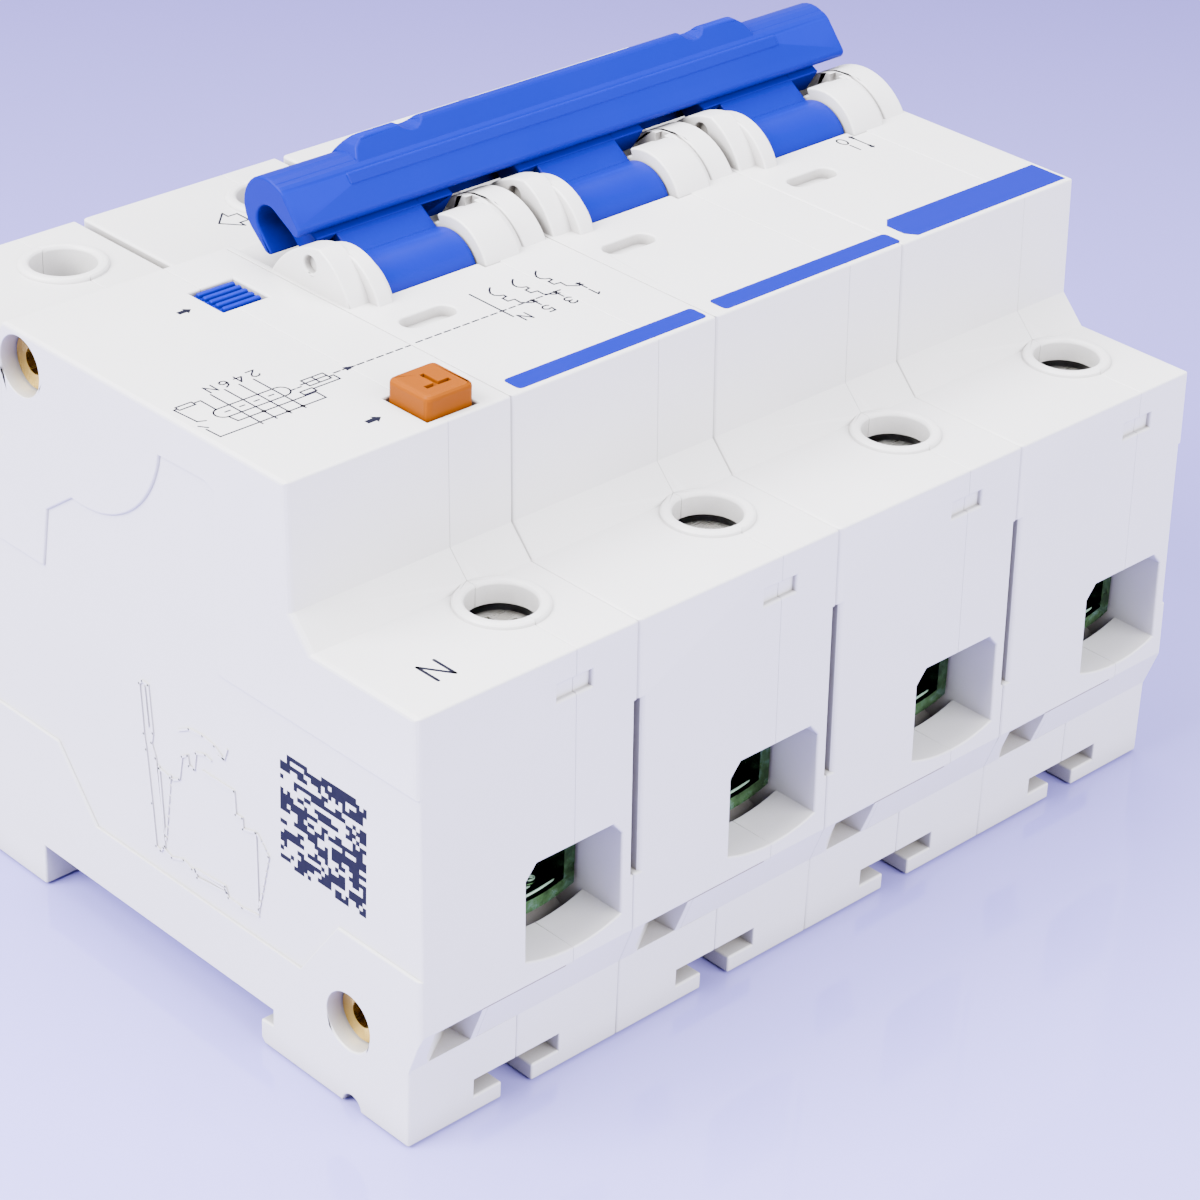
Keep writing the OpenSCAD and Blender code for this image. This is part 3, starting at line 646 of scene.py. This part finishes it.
def blue_strips():
    """The coloured strip along the front of each pole's deck, wider on the last."""
    deck = on_level(DECK)
    front = 19.75
    thick = 0.05
    wide = [(107.4, front), (107.4, 24.4), (84.3, 24.4), (83.1, 23.3), (83.1, 20.9), (84.0, front)]
    plates("pole1_blue_strip", [rounded(28.55, 53.4, front, 22.15, 0.5)], deck, print_blue, thick)
    plates("pole2_blue_strip", [rounded(55.9, 81.45, front, 22.2, 0.5)], deck, print_blue, thick)
    plates("pole3_blue_strip", [wide], deck, print_blue, thick)


def wall_marks():
    """A plain square pattern that holds no data, and the mounting sketch in raised lines."""
    wall = on_left(SIDE_RECESS)
    cells = []
    pick = random.Random(41)
    count, y0, z0, step = 25, 8.2, 22.6, 0.495
    for row in range(count):
        col = 0
        while col < count:
            run = pick.choice((1, 1, 1, 2, 2, 3))
            if pick.random() < 0.5:
                near, far = y0 + col * step, y0 + min(col + run, count) * step
                bottom, top = z0 + row * step, z0 + (row + 1) * step
                cells.append([(near, bottom), (far, bottom), (far, top), (near, top)])
            col += run
    plates("wall_square_print", cells, wall, print_dark)
    sketch = [
        [(41.9, 32.3), (41.4, 32.75), (40.5, 32.7), (39.95, 27.5), (40.2, 26.3), (39.6, 24.8), (38.5, 15.1),
         (39.2, 14.2), (39.9, 14.4), (40.4, 19.2), (41.1, 25.1), (41.4, 26.8), (41.9, 32.3)],
        [(41.1, 32.2), (40.65, 28.0)],
        [(35.9, 29.8), (34.2, 30.75), (32.1, 30.95), (30.3, 30.7), (29.0, 29.95)],
        [(28.4, 31.2), (28.85, 29.95), (29.8, 29.8)],
        [(39.1, 24.1), (38.5, 16.7)],
        [(39.1, 23.9), (37.0, 23.6), (35.9, 24.2), (35.4, 27.05), (34.5, 27.6), (34.3, 26.5), (33.5, 26.5),
         (33.2, 28.5), (31.7, 29.0), (30.9, 28.8)],
        [(32.2, 26.95), (27.4, 27.05), (27.2, 24.5), (26.2, 24.6), (26.1, 23.4), (24.2, 23.95),
         (23.9, 14.95)],
        [(38.7, 14.8), (37.4, 14.3), (35.5, 15.0), (34.2, 14.6), (29.0, 14.95), (28.5, 14.2), (26.4, 14.15),
         (23.9, 14.55)],
        [(33.7, 14.85), (29.0, 15.3), (28.7, 14.7), (33.4, 14.0), (33.7, 14.85)],
    ]
    sketch += dashes((37.3, 23.9), (38.3, 16.0), 0.8, 0.5)
    sketch += dashes((23.9, 23.9), (22.3, 22.2), 0.6, 0.4) + dashes((22.3, 22.2), (23.85, 15.3), 0.6, 0.4)
    strokes("wall_sketch_relief", sketch, 0.24, wall, mats["housing"], 0.16, slot="housing")


CAGE_AXIS_Z = 33.4
CAGE_R = 16.2
CAGE_HALF_D = 5.3


def swept_ridge(verts, faces, x, y, a0, a1, half_width, height, steps=22):
    """A curved ridge across the bottom of a cage, from angle a0 to a1 around the cage's axis."""
    start = len(verts)
    for k in range(steps + 1):
        a = a0 + (a1 - a0) * k / steps
        taper = 1.0 - abs(k / steps * 2 - 1) ** 6
        for dy, rise in ((-half_width, -0.05), (0.0, height * taper), (half_width, -0.05)):
            r = CAGE_R - rise
            verts.append(at(x + r * math.sin(a), y + dy, CAGE_AXIS_Z - r * math.cos(a)))
    for k in range(steps):
        i = start + 3 * k
        for p, q in ((0, 1), (1, 2), (2, 0)):
            faces.append([i + p, i + q, i + 3 + q, i + 3 + p])
    faces.append([start, start + 1, start + 2])
    end = start + 3 * steps
    faces.append([end + 2, end + 1, end])


def dimple(verts, faces, x, y, z, rx, ry, height, steps=24):
    """A pressed dome with a raised lip around it."""
    crown = 0.28
    profile = [
        (1.0, -0.06), (0.94, 0.10), (0.84, 0.16), (0.74, 0.08), (0.60, 0.0), (0.46, 0.10), (0.30, 0.22),
        (0.14, crown),
    ]
    turn = 2 * math.pi / steps
    start = len(verts)
    for share, rise in profile:
        for k in range(steps):
            across, along = rx * share * math.cos(k * turn), ry * share * math.sin(k * turn)
            verts.append(at(x + across, y + along, z + height * rise / crown))
    verts.append(at(x, y, z + height * 1.05))
    tip = len(verts) - 1
    for row in range(len(profile) - 1):
        for k in range(steps):
            j = (k + 1) % steps
            a, b = start + row * steps, start + (row + 1) * steps
            faces.append([a + k, a + j, b + j, b + k])
    last = start + (len(profile) - 1) * steps
    for k in range(steps):
        faces.append([last + k, last + (k + 1) % steps, tip])
    faces.append([start + steps - 1 - k for k in range(steps)])


def module_name(module):
    return "neutral" if module == 0 else "pole%d" % module


def cage_teeth(module, side, y, sign):
    """Serrations that grip the wire and the pressed dimple beside them, with the serrations and the dimple's
    crown coloured light as a painted highlight.
    """
    x = module * MODULE_W + TERMINAL_X
    teeth, dent = ([], []), ([], [])
    rows = (
        (0.7, -0.20, 0.23), (1.7, -0.20, 0.09), (2.7, -0.20, 0.08), (4.0, -0.16, 0.21), (7.2, -0.20, 0.20),
        (8.6, -0.20, 0.20),
    )
    front = y - sign * CAGE_HALF_D
    for inward, a0, a1 in rows:
        swept_ridge(*teeth, x, front + sign * inward, a0, a1, 0.16, 0.22)
    dimple(*dent, x + 1.9, front + sign * 2.5, 17.25, 1.2, 0.75, 0.30)
    # The dimple's small crown takes the painted highlight of the teeth.
    dimple(*teeth, x + 2.1, front + sign * 2.5, 17.40, 0.62, 0.40, 0.20)
    cage = "%s_%s_cage" % (module_name(module), side)
    for kind, (verts, faces), mat in (
        ("teeth", teeth, teeth_painted_highlight), ("dimple", dent, mats["clamp_plating"]),
    ):
        obj = piece("%s_%s" % (cage, kind), verts, faces, mat, body=cage, slot="clamp_plating")
        obj.data.polygons.foreach_set("use_smooth", [True] * len(obj.data.polygons))


def parting_line_shadow(module):
    """A dark line painted as the shadow in the joint between case and cover, where it turns along the edge
    below the wire mouth.
    """
    tip_z = 13.5
    back, drop = 1.6, 4.6
    slope = math.hypot(back, drop)

    def on_chin(x, down, out):
        y = (back * down - drop * out) / slope
        return at(module * MODULE_W + x, y, tip_z - (drop * down + back * out) / slope)

    strokes(module_name(module) + "_parting_line", [[(7.6, 0.2), (18.2, 0.2)]], 0.15, on_chin, seam_shadow)


def test_button_spring(turns=6.5, steps=16, sides=8):
    """One wound coil in place of the plain rings. It stands on its shelf."""
    low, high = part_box("test_spring")
    wire = 0.25 * MM
    centre = (low + high) / 2
    radius = (high.x - low.x) / 2 - wire
    rise = high.z - low.z - 2 * wire
    count = int(turns * steps)
    verts, faces = [], []
    for k in range(count + 1):
        turn = 2 * math.pi * k / steps
        outward = Vector((math.cos(turn), math.sin(turn), 0))
        middle = Vector((centre.x, centre.y, low.z + wire + rise * k / count)) + outward * radius
        for i in range(sides):
            a = 2 * math.pi * i / sides
            verts.append(middle + outward * (wire * math.cos(a)) + Vector((0, 0, wire * math.sin(a))))
            if k:
                j = (i + 1) % sides
                faces.append([(k - 1) * sides + i, (k - 1) * sides + j, k * sides + j, k * sides + i])
    faces.append(list(range(sides)))
    faces.append([count * sides + i for i in reversed(range(sides))])
    coil = piece("test_spring_coil", verts, faces, mats["steel"], slot="steel")
    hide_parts("test_spring")
    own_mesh(coil)


neutral_prints()
pole_prints()
blue_strips()
wall_marks()
test_button_spring()
for module in range(4):
    parting_line_shadow(module)
    cage_teeth(module, "line", LINE_Y, 1)
    cage_teeth(module, "load", LOAD_Y, -1)


# ---------- camera, floor and light ----------

def camera_at(place, right, up, back, lens):
    """A camera at place, given by its right, up and backward directions."""
    data = bpy.data.cameras.new("camera")
    data.lens = lens
    data.sensor_width = 36.0
    data.clip_start = 0.01
    data.clip_end = 20.0
    cam = bpy.data.objects.new("camera", data)
    bpy.context.collection.objects.link(cam)
    turn = Matrix((right, up, back)).transposed().to_4x4()
    cam.matrix_world = Matrix.Translation(place) @ turn
    bpy.context.scene.camera = cam


camera_at(
    Vector((-0.22826, -0.23999, 0.21212)),
    (0.7237, -0.6891, 0.0375),
    (0.3215, 0.3847, 0.8652),
    (-0.6107, -0.6141, 0.4999),
    106.6,
)


def floor_plane():
    """A pale glossy floor with painted shade: its colour darkens away from the line end."""
    mesh = bpy.data.meshes.new("floor")
    half = 3.0
    mesh.from_pydata(
        [(-half, -half, 0), (half, -half, 0), (half, half, 0), (-half, half, 0)], [], [(0, 1, 2, 3)]
    )
    obj = bpy.data.objects.new("floor", mesh)
    obj.location.z = -0.0002
    bpy.context.collection.objects.link(obj)
    m, tree, bsdf = new_material("floor_acrylic")
    place = tree.nodes.new("ShaderNodeNewGeometry")
    along = tree.nodes.new("ShaderNodeVectorMath")
    along.operation = "DOT_PRODUCT"
    along.inputs[1].default_value = (0.7071, 0.7071, 0.0)
    link(tree, place, "Position", along, 0)
    # Painted shade: the floor grows darker towards the back, as if less light reached it.
    far = map_range(tree, along, "Value", -0.10, 0.26, 0.0, 1.0)
    tint = ramp(tree, far, "Result", [
        (0.0, (0.34, 0.31, 0.80)), (0.45, (0.24, 0.21, 0.62)), (1.0, (0.115, 0.09, 0.37)),
    ])
    tree.links.new(tint.outputs["Color"], bsdf.inputs["Base Color"])
    mist = noise(tree, 40.0, 3.0)
    gloss = map_range(tree, mist, "Fac", 0.3, 0.7, 0.06, 0.10)
    link(tree, gloss, "Result", bsdf, "Roughness")
    bsdf.inputs["Specular IOR Level"].default_value = 0.55
    mesh.materials.append(m)


def soft_light(name, place, target, size, power, colour=(1, 1, 1)):
    """A soft box that faces the target."""
    data = bpy.data.lights.new(name, "AREA")
    data.shape = "RECTANGLE"
    data.size, data.size_y = size
    data.energy = power
    data.color = colour
    obj = bpy.data.objects.new(name, data)
    obj.location = place
    obj.rotation_mode = "QUATERNION"
    obj.rotation_quaternion = (Vector(target) - Vector(place)).to_track_quat("-Z", "Y")
    bpy.context.collection.objects.link(obj)


floor_plane()
soft_light("key", (-0.95, 0.3, 0.85), (0, 0, 0.03), (0.9, 0.9), 78.0)
soft_light("fill", (0.2, -1.1, 0.7), (0, 0, 0.03), (1.2, 0.8), 46.0, (0.985, 0.98, 1.0))
soft_light("top", (0.1, 0.3, 1.2), (0, 0, 0.03), (1.2, 1.2), 40.0)
world = bpy.data.worlds.new("studio")
world.use_nodes = True
world.node_tree.nodes["Background"].inputs["Color"].default_value = (0.86, 0.86, 1.0, 1)
world.node_tree.nodes["Background"].inputs["Strength"].default_value = 0.95
bpy.context.scene.world = world
